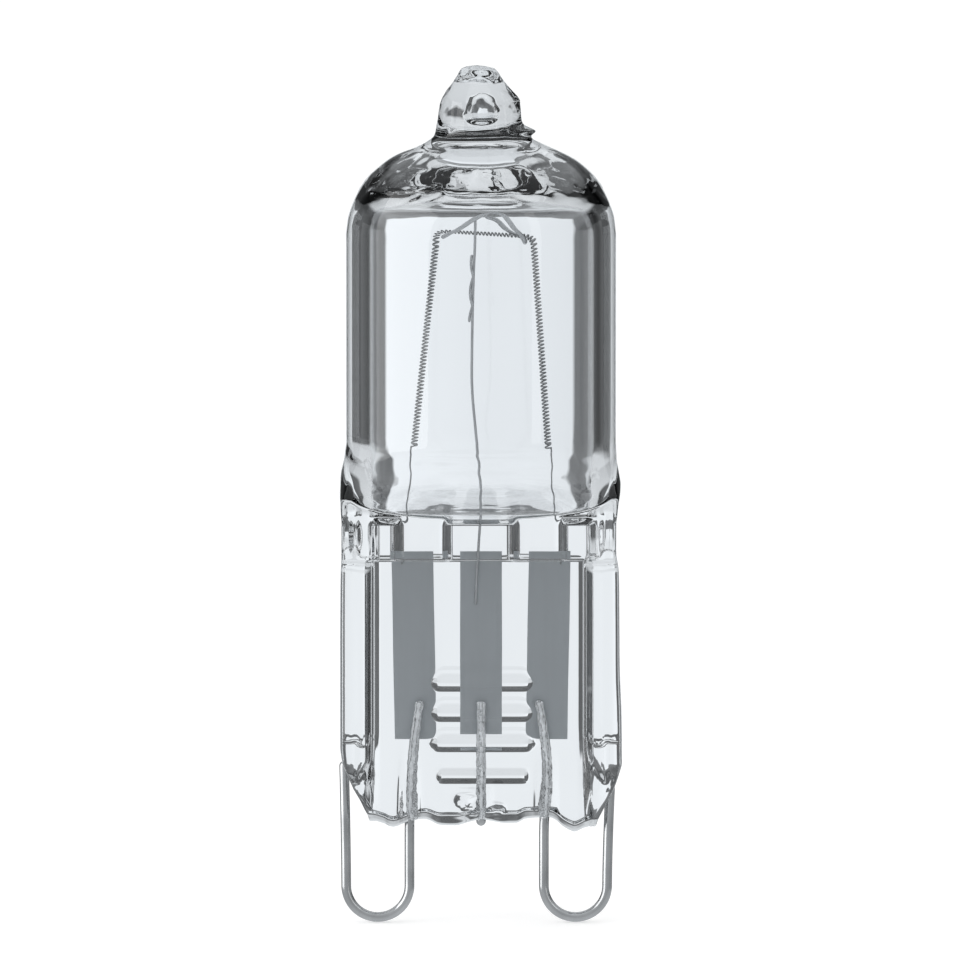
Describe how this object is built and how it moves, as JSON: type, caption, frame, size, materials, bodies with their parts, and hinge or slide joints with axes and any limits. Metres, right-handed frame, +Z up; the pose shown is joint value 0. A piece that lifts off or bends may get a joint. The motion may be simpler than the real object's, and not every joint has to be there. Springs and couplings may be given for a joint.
{
  "type": "halogen capsule bulb",
  "caption": "Clear halogen capsule bulb with a domed tube, a flat pressed seal, a coiled filament on a hooked support wire and looped contact wires.",
  "frame": {"origin": "on the tube's axis, at the height of the tips of the contact loops", "axes": "+Z up along the bulb's axis to the exhaust tip, +X along the line of the contact loops, -Y out of the front face of the pinch"},
  "size_m": [0.0129, 0.0122, 0.0391],
  "materials": {
    "quartz_glass": "clear fused quartz, fire polished, with pressing ripples",
    "tungsten": "dark drawn wire",
    "sealing_foil": "matt grey rolled foil",
    "contact_wire": "satin drawn wire"
  },
  "bodies": {
    "root": {"glass_capsule": "quartz_glass", "filament": "tungsten", "filament_hook": "tungsten", "support_wire": "tungsten", "support_splice": "tungsten", "foil_left": "sealing_foil", "foil_middle": "sealing_foil", "foil_right": "sealing_foil", "contact_loop_left": "contact_wire", "contact_loop_right": "contact_wire", "middle_lead": "contact_wire"}
  },
  "joints": []
}
